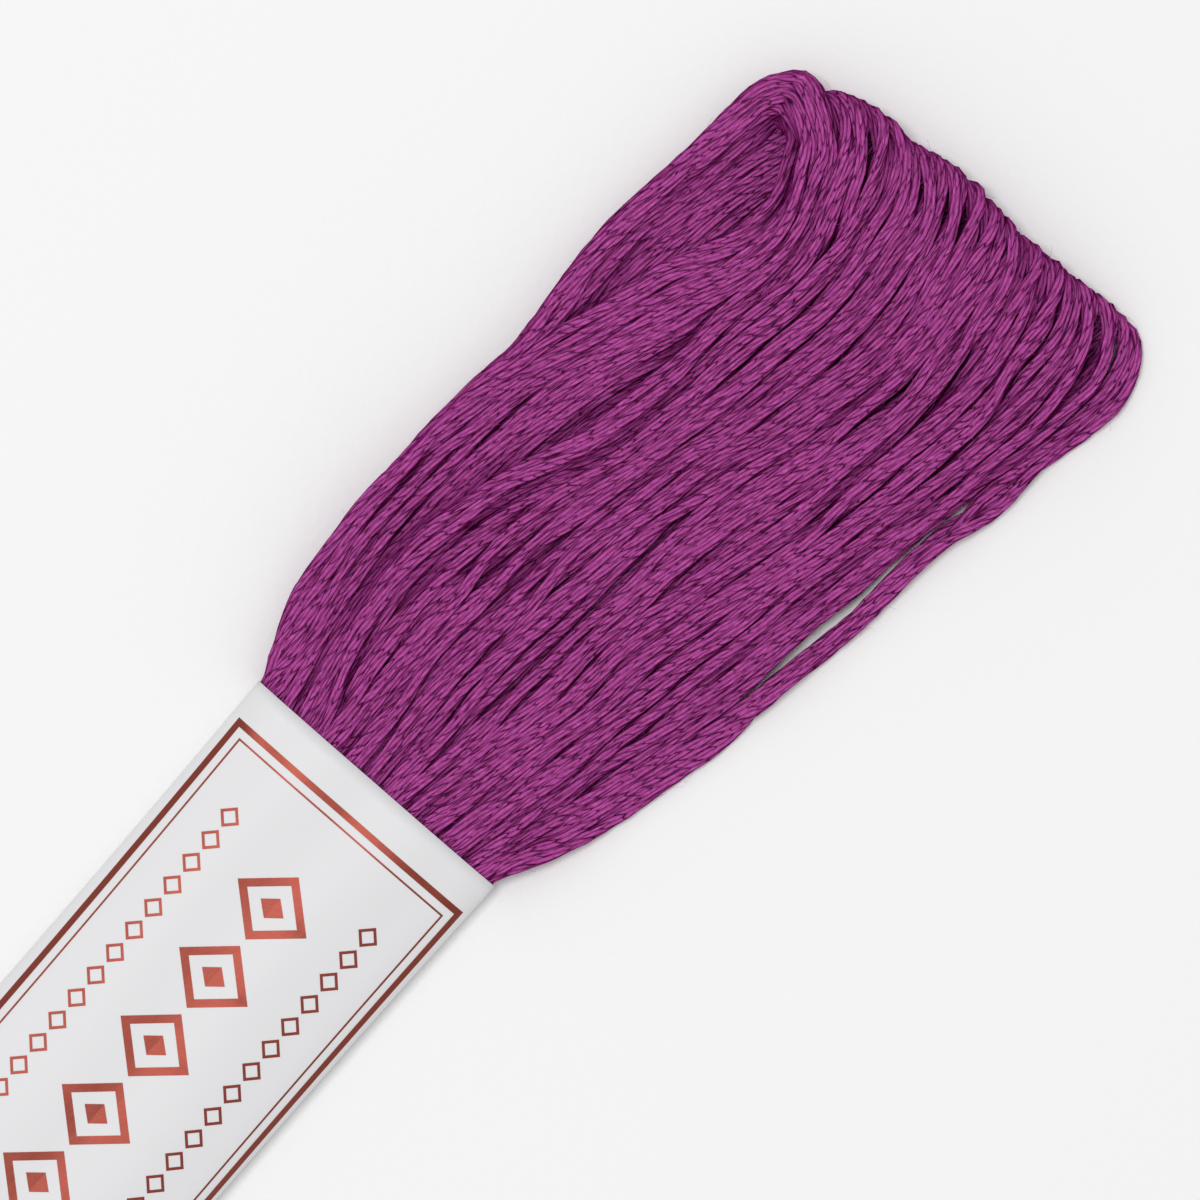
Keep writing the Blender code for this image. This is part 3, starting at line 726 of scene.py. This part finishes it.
def thread_tree():
    """Sweeps a lobed section along the thread's way, turning it as the plies are twisted."""
    tree = shape_tree("plied thread", (("Thickness", "NodeSocketFloat"), ("Plies", "NodeSocketInt"),
                                       ("Points per Ply", "NodeSocketInt"),
                                       ("Valley", "NodeSocketFloat"),
                                       ("Cotton", "NodeSocketMaterial")))
    given = add(tree, "NodeGroupInput").outputs
    way = add(tree, "GeometryNodeMeshToCurve", {"Mesh": given["Geometry"]})
    twist = add(tree, "GeometryNodeInputNamedAttribute", {"Name": "twist"}, data_type="FLOAT")
    turned = add(tree, "GeometryNodeSetCurveTilt", {"Curve": way, "Tilt": twist})
    points = add(tree, MATHS, [given["Plies"], given["Points per Ply"]], "MULTIPLY")
    radius = add(tree, MATHS, [given["Thickness"], 0.5], "MULTIPLY")
    ring = add(tree, "GeometryNodeCurvePrimitiveCircle", {"Resolution": points, "Radius": radius})
    around = add(tree, "GeometryNodeSplineParameter")
    half_angle = add(tree, MATHS, [given["Plies"], pi], "MULTIPLY")
    angle = add(tree, MATHS, [around, half_angle], "MULTIPLY")
    wave = add(tree, MATHS, [angle], "SINE")
    lobe = add(tree, MATHS, [wave], "ABSOLUTE")
    share = add(tree, STEP, {"Value": lobe, "To Min": given["Valley"], "To Max": 1.0})
    place = add(tree, "GeometryNodeInputPosition")
    scaled = add(tree, "ShaderNodeVectorMath", {0: place, "Scale": share}, "SCALE")
    section = add(tree, "GeometryNodeSetPosition", {"Geometry": ring, "Position": scaled})
    section_place = add(tree, "GeometryNodeStoreNamedAttribute",
                        {"Geometry": section, "Name": "ply_place", "Value": place},
                        data_type="FLOAT_VECTOR", domain="POINT")
    swept = add(tree, "GeometryNodeCurveToMesh", {"Curve": turned, "Profile Curve": section_place,
                                                  "Fill Caps": True})
    spot = add(tree, "GeometryNodeInputPosition")
    lumps = add(tree, NOISE, {"Vector": spot, "Scale": 1 / (LUMP_LENGTH * MM), "Detail": 2.0})
    swell = add(tree, MATHS, [lumps, 0.5], "SUBTRACT")
    swell = add(tree, MATHS, [swell, LUMP_DEPTH * MM], "MULTIPLY")
    outward = add(tree, "GeometryNodeInputNormal")
    push = add(tree, "ShaderNodeVectorMath", {0: outward, "Scale": swell}, "SCALE")
    lumpy = add(tree, "GeometryNodeSetPosition", {"Geometry": swept, "Offset": push})
    smooth = add(tree, "GeometryNodeSetShadeSmooth", [lumpy])
    return finish_shape(tree, smooth, given["Cotton"])


def how_sheltered(points):
    """How much of the light each point loses to the threads around it: 0 is none, 1 is all.

    It is worked out for the face of the hank that is nearer to the point."""
    middles = (points[1:] + points[:-1]) / 2
    every = np.concatenate([points, middles])
    origin = every[:, :2].min(axis=0) - SHELTER_CELL * (SHELTER_REACH + 1)
    cell = ((points[:, :2] - origin) / SHELTER_CELL).astype(int)
    every_cell = ((every[:, :2] - origin) / SHELTER_CELL).astype(int)
    size = every_cell.max(axis=0) + SHELTER_REACH + 2
    lost = []
    for face in (1.0, -1.0):
        surface = np.full(size, -np.inf)
        np.maximum.at(surface, (every_cell[:, 0], every_cell[:, 1]), face * every[:, 2])
        seen = 0.0
        for x, y in SHELTER_SIDES:
            steepest = np.zeros(len(points))
            for step in range(1, SHELTER_REACH + 1):
                rise = surface[cell[:, 0] + step * x, cell[:, 1] + step * y] - face * points[:, 2]
                steepest = np.maximum(steepest, rise / (step * SHELTER_CELL * np.hypot(x, y)))
            seen = seen + 1 / (len(SHELTER_SIDES) * (1 + steepest ** 2))
        lost.append(1 - seen)
    return np.convolve(np.minimum(*lost), np.full(3, 1 / 3), mode="same")


def points_mesh(name, points, **fields):
    """A row of points, each with what its tree of shape nodes and its material need to know."""
    mesh = bpy.data.meshes.new(name)
    mesh.vertices.add(len(points))
    mesh.vertices.foreach_set("co", (points * MM).astype(np.float32).ravel())
    for label, values in fields.items():
        kind, entry = ("FLOAT_VECTOR", "vector") if values.ndim > 1 else ("FLOAT", "value")
        field = mesh.attributes.new(label, kind, "POINT")
        field.data.foreach_set(entry, values.astype(np.float32).ravel())
    return mesh


def join_in_line(mesh):
    """Joins a mesh's points with edges, each to the next."""
    count = len(mesh.vertices) - 1
    mesh.edges.add(count)
    ends = np.stack([np.arange(count), np.arange(1, count + 1)], axis=1)
    mesh.edges.foreach_set("vertices", ends.astype(np.int32).ravel())
    return mesh


def linear(hex_colour):
    """An sRGB hex colour as linear red, green, blue and alpha."""
    parts = [int(hex_colour[start:start + 2], 16) / 255 for start in (1, 3, 5)]
    return tuple(part / 12.92 if part <= 0.04045 else ((part + 0.055) / 1.055) ** 2.4
                 for part in parts) + (1.0,)


def new_material(name, surface):
    """A material from its surface's values; returns it, its tree and the surface shader."""
    material = bpy.data.materials.new(name)
    material.use_nodes = True
    tree = material.node_tree
    tree.nodes.clear()
    shader = add(tree, "ShaderNodeBsdfPrincipled", surface)
    add(tree, "ShaderNodeOutputMaterial", {"Surface": shader})
    return material, tree, shader


def grained_material(name, surface, size, detail, strength, depth):
    """A material of one colour with a fine even grain, of that size and depth in millimetres."""
    material, tree, shader = new_material(name, surface)
    place = add(tree, "ShaderNodeTexCoord").outputs["Object"]
    grain = add(tree, NOISE, {"Vector": place, "Scale": 1 / (size * MM), "Detail": detail})
    bump = add(tree, "ShaderNodeBump", {"Height": grain, "Strength": strength, "Distance": depth * MM})
    tree.links.new(bump.outputs[0], shader.inputs["Normal"])
    return material


def patches(tree, place, scales, start, detail):
    """Soft patches on a thread, from 0 to 1: scales are how many to a step along, across and by turn."""
    spot = add(tree, "ShaderNodeCombineXYZ", place)
    spot = add(tree, "ShaderNodeVectorMath", [spot, scales, (0.0, 0.0, start)], "MULTIPLY_ADD")
    return add(tree, NOISE, {"Vector": spot, "Scale": 1.0, "Detail": detail, "Roughness": 0.6})


def cotton_material():
    """Dyed cotton, spun and plied: matt, with soft plies, painted shade in the slits between them and a
    little fuzz.

    Each ply is itself two yarns, which show as short slits that slant across it, darkened with painted
    shade. The thread's upright sides and the places that other threads shelter get painted shade too."""
    material, tree, shader = new_material("plied_cotton", {"Roughness": 0.8, "Specular IOR Level": 0.0})
    along, turn, sheltered = (add(tree, "ShaderNodeAttribute", attribute_name=name).outputs["Fac"]
                              for name in ("along", "turn", "sheltered"))
    section = add(tree, "ShaderNodeAttribute", attribute_name="ply_place").outputs["Vector"]
    section = add(tree, "ShaderNodeSeparateXYZ", [section]).outputs

    # The plies: which one a place is on, how far across it, and how high its round top stands there.
    angle = add(tree, MATHS, [section["Y"], section["X"]], "ARCTAN2")
    even = add(tree, MATHS, [angle, PLIES / (2 * pi)], "MULTIPLY")
    sway = patches(tree, [along, even, turn], (1 / PLY_WANDER_LENGTH, PLY_WANDER_ACROSS, 1.0), 0.0, 2.0)
    sway = add(tree, MATHS, [sway, PLY_WANDER, -PLY_WANDER / 2], "MULTIPLY_ADD")
    plies = add(tree, MATHS, [even, sway], "ADD")
    own = add(tree, MATHS, [plies], "FLOOR")
    across = add(tree, MATHS, [plies], "FRACT")
    across = add(tree, MATHS, [across, 2.0, -1.0], "MULTIPLY_ADD")
    crown = add(tree, MATHS, [across, across], "MULTIPLY")
    crown = add(tree, MATHS, [1.0, crown], "SUBTRACT")
    crown = add(tree, MATHS, [crown, 0.0], "MAXIMUM")
    crown = add(tree, MATHS, [crown], "SQRT")

    # The two yarns of each ply: how high each stands there, as they turn about each other.
    wander = patches(tree, [along, own, turn], (1 / YARN_DRIFT_LENGTH, YARN_DRIFT_ACROSS, 1.0), 0.0, 2.0)
    start = add(tree, "ShaderNodeCombineXYZ", [own, turn])
    start = add(tree, "ShaderNodeTexWhiteNoise", {"Vector": start})
    lay = add(tree, MATHS, [along, 1 / YARN_LAY, start], "MULTIPLY_ADD")
    turned = add(tree, MATHS, [wander, YARN_DRIFT, lay], "MULTIPLY_ADD")
    turned = add(tree, MATHS, [turned, 2 * pi], "MULTIPLY")
    aside = add(tree, MATHS, [turned], "SINE")
    forward = add(tree, MATHS, [turned], "COSINE")
    heights = []
    for offset in (YARN_OFFSET, -YARN_OFFSET):
        off = add(tree, MATHS, [aside, -offset, across], "MULTIPLY_ADD")
        inside = add(tree, MATHS, [off, off], "MULTIPLY")
        inside = add(tree, MATHS, [YARN_RADIUS ** 2, inside], "SUBTRACT")
        inside = add(tree, MATHS, [inside, 0.0], "MAXIMUM")
        inside = add(tree, MATHS, [inside], "SQRT")
        heights.append(add(tree, MATHS, [forward, offset, inside], "MULTIPLY_ADD"))
    yarns = add(tree, MATHS, heights, "MAXIMUM")
    apart = add(tree, MATHS, heights, "SUBTRACT")
    apart = add(tree, MATHS, [apart], "ABSOLUTE")

    # Relief.
    fibre = patches(tree, [along, plies, turn], (1 / FIBRE_LENGTH, 1 / FIBRES_ACROSS, 1.0), 0.0, 3.0)
    relief = add(tree, MATHS, [yarns, YARN_RELIEF / (YARN_OFFSET + YARN_RADIUS)], "MULTIPLY")
    relief = add(tree, MATHS, [fibre, FIBRE_RELIEF, relief], "MULTIPLY_ADD")
    relief = add(tree, MATHS, [crown, PLY_RELIEF, relief], "MULTIPLY_ADD")
    bump = add(tree, "ShaderNodeBump", {"Height": relief, "Strength": 1.0, "Distance": MM})
    tree.links.new(bump.outputs[0], shader.inputs["Normal"])

    # Painted shade in the valleys between plies and the slits between yarns, where no fuzz hides it.
    valley = add(tree, STEP, [crown, *VALLEY_EDGE, VALLEY_SHADE, 0.0], **SMOOTH)
    slit = add(tree, STEP, [apart, 0.0, YARN_SLIT, 1.0, 0.0], **SMOOTH)
    painted_crevice_shade = add(tree, MATHS, [valley, slit], "MAXIMUM")
    fuzz = patches(tree, [along, plies, turn], (1 / FUZZ_LENGTH, FUZZ_ACROSS, 1.0), FUZZ_START, 1.0)
    clear = add(tree, STEP, [fuzz, *FUZZ_EDGE, 1 - FUZZ_VEIL, 1.0], **SMOOTH)
    painted_crevice_shade = add(tree, MATHS, [painted_crevice_shade, clear], "MULTIPLY")

    # Colours, each over the one before: fibres, then painted shade on the thread's upright sides, painted
    # shade where other threads shelter it, and painted shade in valleys and slits.
    upright = add(tree, "ShaderNodeNewGeometry").outputs["Normal"]
    upright = add(tree, "ShaderNodeSeparateXYZ", [upright]).outputs["Z"]
    upright = add(tree, MATHS, [upright], "ABSOLUTE")
    fibre = add(tree, STEP, [fibre, *FIBRE_EDGE, 1.0, 0.0], **SMOOTH)
    # Painted shade on the thread's upright sides.
    side = add(tree, STEP, [upright, *SIDE_SHADE_EDGE, 1.0, 0.0], **SMOOTH)
    # Painted shade where other threads shelter the thread from light.
    painted_shelter_shade = add(tree, STEP, [sheltered, *SHELTER_SHADE_EDGE], **SMOOTH)

    # Sockets 6 and 7 of a Mix node are its two colours, and its output 2 is their blend.
    colour = linear("#d768bc")
    # 6c0a54, #6a1055 and #3e002e are colours of painted shade: on upright sides, where sheltered, and in
    # valleys and slits.
    for share, darker in ((fibre, "#97297d"), (side, "#6c0a54"), (painted_shelter_shade, "#6a1055"), (painted_crevice_shade, "#3e002e")):
        layer = add(tree, "ShaderNodeMix", {0: share, 6: colour, 7: linear(darker)}, data_type="RGBA")
        colour = layer.outputs[2]
    tree.links.new(colour, shader.inputs["Base Color"])
    return material


def make_threads(cotton):
    """The hank: the one thread of all turns, cut inside the sleeve into pieces of a few turns."""
    turns = settle(way_of_the_thread(), SWEEPS)
    chain = turns.reshape(-1, 3)
    along = np.concatenate([[0.0], np.cumsum(np.linalg.norm(np.diff(chain, axis=0), axis=1))])
    uneven = drift(np.random.default_rng(PITCH_SEED), 1, along, *PITCH_DRIFT)[0]
    twist = 2 * pi * np.cumsum(np.gradient(along) * (1 + uneven)) / PLY_PITCH
    turn = np.repeat(np.arange(TURNS), turns.shape[1])
    sheltered = how_sheltered(chain)
    tree = thread_tree()
    sizes = {"Thickness": THREAD * MM, "Plies": PLIES, "Points per Ply": POINTS_PER_PLY,
             "Valley": PLY_VALLEY, "Cotton": cotton}
    pieces = []
    for part in np.array_split(np.arange(TURNS), THREAD_PIECES):
        kept = slice(part[0] * turns.shape[1], (part[-1] + 1) * turns.shape[1])
        name = f"thread_turns_{part[0] + 1}_to_{part[-1] + 1}"
        way = points_mesh(name, chain[kept], twist=twist[kept], along=along[kept], turn=turn[kept],
                          sheltered=sheltered[kept])
        pieces.append(made_by_nodes(name, join_in_line(way), tree, sizes))
    pieces.append(make_fibres(chain, fibre_material()))
    return pieces


def sleeve_point(x, around):
    """A place on the sleeve's outer face and the way out from it, in millimetres.

    The distance around starts from the middle of the top, and grows towards +Y and the underside."""
    x, around = np.broadcast_arrays(np.asarray(x, float), np.asarray(around, float))
    wrapped = (around + SLEEVE_AROUND / 2) % SLEEVE_AROUND - SLEEVE_AROUND / 2
    y = np.interp(wrapped, SECTION_AROUND, SECTION_Y)
    z = np.interp(wrapped, SECTION_AROUND, SECTION_Z)
    out_y = -np.interp(wrapped, SECTION_AROUND, np.gradient(SECTION_Z, SECTION_AROUND))
    out_z = np.interp(wrapped, SECTION_AROUND, np.gradient(SECTION_Y, SECTION_AROUND))
    on_top = ease((SLEEVE_WIDTH / 2 - WAVES_STOP - np.abs(wrapped)) / WAVES_FADE)
    rise = np.zeros_like(y)
    sway, sway_length = WAVES_SWAY
    for length, depth, start in PAPER_WAVES:
        turned = (around - start) / length + sway * np.sin(2 * pi * x / sway_length + start)
        rise = rise + depth * on_top * np.sin(2 * pi * turned)
    under_the_other = ease((-around - SLEEVE_AROUND / 2 + GLUED / 2 + TUCK_FROM) / TUCK_STEP)
    rise = rise - under_the_other * (PAPER + GLUE)
    y = y * (1 - waist(x) / (SLEEVE_WIDTH / 2))
    return (np.stack([x, y + rise * out_y, z + rise * out_z], axis=-1),
            np.stack([np.zeros_like(x), out_y, out_z], axis=-1))


def grid_mesh(name, points, closed=False):
    """A sheet of four-sided faces through rows of points; closed joins its last column to the first."""
    rows, columns = points.shape[:2]
    mesh = bpy.data.meshes.new(name)
    width = columns if closed else columns - 1
    faces = [(row * columns + column, (row + 1) * columns + column,
              (row + 1) * columns + (column + 1) % columns, row * columns + (column + 1) % columns)
             for row in range(rows - 1) for column in range(width)]
    mesh.from_pydata((points.reshape(-1, 3) * MM).tolist(), [], faces)
    mesh.shade_smooth()
    return mesh


def make_sleeve(paper):
    """The paper band, wound once round the hank and glued to itself underneath."""
    wound = SLEEVE_AROUND + GLUED
    x = np.linspace(-HALF_SLEEVE, HALF_SLEEVE, SLEEVE_ROWS)[:, None]
    around = np.linspace(-wound / 2, wound / 2, SLEEVE_COLUMNS)[None, :]
    outer, _ = sleeve_point(x, around)
    sleeve = add_object("paper_sleeve", grid_mesh("paper_sleeve", outer), paper)
    wall = sleeve.modifiers.new("thickness", "SOLIDIFY")
    wall.thickness = PAPER * MM
    wall.offset = -1.0
    wall.use_even_offset = True
    return sleeve


def foil_strip(first, second, third, fourth):
    """One strip of print between four corners (x, around), laid on the paper as a thin closed bar."""
    count = 2 + int(np.linalg.norm(second - first) / FOIL_STEP)
    share = np.linspace(0, 1, count)[:, None]
    left, right = mix(first, second, share), mix(fourth, third, share)
    rows = []
    for edge, height in ((left, -FOIL_BELOW), (left, FOIL_ABOVE), (right, FOIL_ABOVE), (right, -FOIL_BELOW)):
        place, normal = sleeve_point(edge[:, 0], edge[:, 1] + PRINT_SLOPE * edge[:, 0])
        rows.append(place + normal * height)
    return grid_mesh("foil_bar", np.stack(rows, axis=1), closed=True)


def outline(corners, middle, inner, outer):
    """A mitred outline of four strips, between an inner and an outer half size."""
    corners = np.array(corners)
    return [foil_strip(middle + start * inner, middle + end * inner, middle + end * outer,
                       middle + start * outer) for start, end in zip(corners, np.roll(corners, -1, axis=0))]


def around_at(y):
    """Distance around the sleeve, from the middle of its top, of a place that far across it."""
    top = SECTION_Z >= SLEEVE_SIDE
    return np.interp(y, SECTION_Y[top], SECTION_AROUND[top])


def make_foil(foil):
    """The copper foil print, as thin bars that follow the paper."""
    bars = []
    high, low = around_at(FRAME_HIGH), around_at(FRAME_LOW)
    half = HALF_SLEEVE - FRAME_END
    frame_half = np.array((half, (high - low) / 2))
    for inset, line in ((0.0, FRAME_LINE), (INNER_GAP, INNER_LINE)):
        size = frame_half - inset
        bars += outline(SQUARE, np.array((0.0, (high + low) / 2)), size - line / 2, size + line / 2)
    for row in DIAMOND_ROWS:
        size = np.array((row.half_x, row.half_y))
        open_share = max(1 - row.line / min(size), FILLED)
        count = int(2 * (half - ROW_MARGIN) / row.pitch)
        for number in range(count):
            middle = np.array(((number - (count - 1) / 2) * row.pitch, around_at(row.y)))
            bars += outline(DIAMOND, middle, size * open_share, size)
    joined = bmesh.new()
    for bar in bars:
        joined.from_mesh(bar)
        bpy.data.meshes.remove(bar)
    bmesh.ops.holes_fill(joined, edges=[edge for edge in joined.edges if edge.is_boundary])
    bmesh.ops.recalc_face_normals(joined, faces=joined.faces)
    mesh = bpy.data.meshes.new("foil_print")
    joined.to_mesh(mesh)
    joined.free()
    mesh.set_sharp_from_angle(angle=radians(FOIL_EDGE))
    return add_object("foil_print", mesh, foil)


def paper_material():
    """Coated white paper with a satin face: smooth, with a very faint grain."""
    return grained_material("coated_paper", {"Base Color": linear("#e5e4e6"), "Roughness": 0.5, "IOR": 1.5},
                            size=0.45, detail=4.0, strength=0.5, depth=0.01)


def foil_material():
    """Hot-stamped copper foil: metallic, a little uneven, so that it glints and darkens in turn."""
    return grained_material("stamped_copper_foil", {"Base Color": linear("#8c4034"), "Metallic": 0.7,
                                                    "Roughness": 0.43},
                            size=0.8, detail=3.0, strength=0.6, depth=0.03)


def fibre_tree():
    """Lays a thin bent fibre at each point, along the way that the point gives for it."""
    tree = shape_tree("stray fibres", (("Thickness", "NodeSocketFloat"), ("Cotton", "NodeSocketMaterial")))
    given = add(tree, "NodeGroupInput").outputs
    start, middle, end = FIBRE_SHAPE
    arc = add(tree, "GeometryNodeCurveQuadraticBezier", {"Resolution": FIBRE_STEPS, "Start": start,
                                                         "Middle": middle, "End": end})
    radius = add(tree, MATHS, [given["Thickness"], 0.5], "MULTIPLY")
    ring = add(tree, "GeometryNodeCurvePrimitiveCircle", {"Resolution": 3, "Radius": radius})
    points = add(tree, "GeometryNodeMeshToPoints", {"Mesh": given["Geometry"]})
    lie, length, roll = (add(tree, "GeometryNodeInputNamedAttribute", {"Name": name}, data_type=kind)
                         for name, kind in (("lie", "FLOAT_VECTOR"), ("length", "FLOAT"), ("roll", "FLOAT")))
    upright = add(tree, "FunctionNodeAlignRotationToVector", {"Vector": lie}, axis="Z")
    rolled = add(tree, "FunctionNodeAxisAngleToRotation", {"Axis": (0.0, 0.0, 1.0), "Angle": roll})
    turned = add(tree, "FunctionNodeRotateRotation", [upright, rolled], rotation_space="LOCAL")
    placed = add(tree, "GeometryNodeInstanceOnPoints", {"Points": points, "Instance": arc,
                                                        "Rotation": turned, "Scale": length})
    lines = add(tree, "GeometryNodeRealizeInstances", [placed])
    swept = add(tree, "GeometryNodeCurveToMesh", {"Curve": lines, "Profile Curve": ring,
                                                  "Fill Caps": True})
    return finish_shape(tree, swept, given["Cotton"])


def make_fibres(chain, cotton):
    """Stray fibres that stand a little off the threads on the outside of the hank."""
    rng = np.random.default_rng(FIBRE_SEED)
    along = np.gradient(chain, axis=0)
    along /= np.linalg.norm(along, axis=1)[:, None]
    cell = np.floor(chain[:, :2] / FIBRE_CELL).astype(int)
    cell -= cell.min(axis=0)
    key = cell[:, 0] * (cell[:, 1].max() + 1) + cell[:, 1]
    highest = np.full(key.max() + 1, -np.inf)
    np.maximum.at(highest, key, chain[:, 2])
    lowest = np.full(key.max() + 1, np.inf)
    np.minimum.at(lowest, key, chain[:, 2])
    above = chain[:, 2] > highest[key] - THREAD / 2
    below = (chain[:, 2] < lowest[key] + THREAD / 2) & (chain[:, 2] > FIBRE_CLEAR * THREAD)
    outside = np.abs(chain[:, 0]) > HALF_SLEEVE + FIBRE_LENGTHS[1]
    picked = rng.choice(np.nonzero((above | below) & outside)[0], STRAY_FIBRES)
    one_each = (STRAY_FIBRES, 1)
    up = np.where(above[picked], 1.0, -1.0)[:, None] * np.array((0.0, 0.0, 1.0))
    side = np.cross(along[picked], up)
    tilt = rng.uniform(-FIBRE_LEAN, FIBRE_LEAN, one_each)
    outward = up * np.cos(tilt) + side * np.sin(tilt)
    shift = rng.uniform(-FIBRE_SHIFT, FIBRE_SHIFT, one_each)
    place = chain[picked] + outward * THREAD * FIBRE_ROOT + along[picked] * shift
    lie = along[picked] * rng.choice((-1.0, 1.0), one_each)
    lie = lie + outward * rng.uniform(0.0, FIBRE_LIFT, one_each)
    lie = lie + rng.normal(0.0, FIBRE_SCATTER, (STRAY_FIBRES, 3))
    length = rng.uniform(*FIBRE_LENGTHS, STRAY_FIBRES) * MM
    roll = rng.uniform(0.0, 2 * pi, STRAY_FIBRES)
    points = points_mesh("stray_fibres", place, lie=lie, length=length, roll=roll)
    return made_by_nodes("stray_fibres", points, fibre_tree(),
                         {"Thickness": FIBRE_THICKNESS * MM, "Cotton": cotton})


def fibre_material():
    """Single cotton fibres: thin and dyed right through, so they look lighter than the thread."""
    return new_material("single_cotton_fibres", {"Base Color": linear("#b8479f"), "Roughness": 0.6,
                                                 "Specular IOR Level": 0.3})[0]


def card_material():
    """White card: matt, with a soft nap."""
    return grained_material("white_card", {"Base Color": linear("#fbfbfb"), "Roughness": 0.9,
                                           "Specular IOR Level": 0.1},
                            size=0.7, detail=3.0, strength=0.5, depth=0.08)


def make_stage():
    """Pale floor, soft light and the camera, looking straight down with a long lens."""
    world = bpy.data.worlds.new("studio")
    bpy.context.scene.world = world
    world.use_nodes = True
    sky = world.node_tree.nodes["Background"].inputs
    sky["Color"].default_value = (1.0, 1.0, 1.0, 1.0)
    sky["Strength"].default_value = SKY_LIGHT
    bpy.context.scene.view_settings.view_transform = "Standard"
    bpy.ops.mesh.primitive_plane_add(size=2.0)
    floor = bpy.context.object
    floor.name = "floor"
    floor.data.materials.append(card_material())
    light = bpy.data.lights.new("window", "AREA")
    light.size = LAMP_SIZE
    light.energy = LAMP_POWER
    lamp = add_object("window", light)
    lamp.location = LAMP_PLACE
    lamp.rotation_euler = (radians(LAMP_TILT), 0.0, 0.0)
    lens = bpy.data.cameras.new("camera")
    lens.sensor_width = SENSOR
    lens.lens = SENSOR * CAMERA_PLACE[2] / VIEW_WIDTH
    lens.clip_start = 0.01
    camera = add_object("camera", lens)
    camera.location = CAMERA_PLACE
    camera.rotation_euler = (0.0, 0.0, radians(CAMERA_TURN))
    bpy.context.scene.camera = camera


def main():
    make_stage()
    for piece in make_threads(cotton_material()):
        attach(piece, "root")
        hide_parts("hank")
    sleeve = make_sleeve(paper_material())
    foil_print = make_foil(foil_material())
    for piece, slot in ((sleeve, "paper"), (foil_print, "foil")):
        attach(piece, "root")
        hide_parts("sleeve")


main()
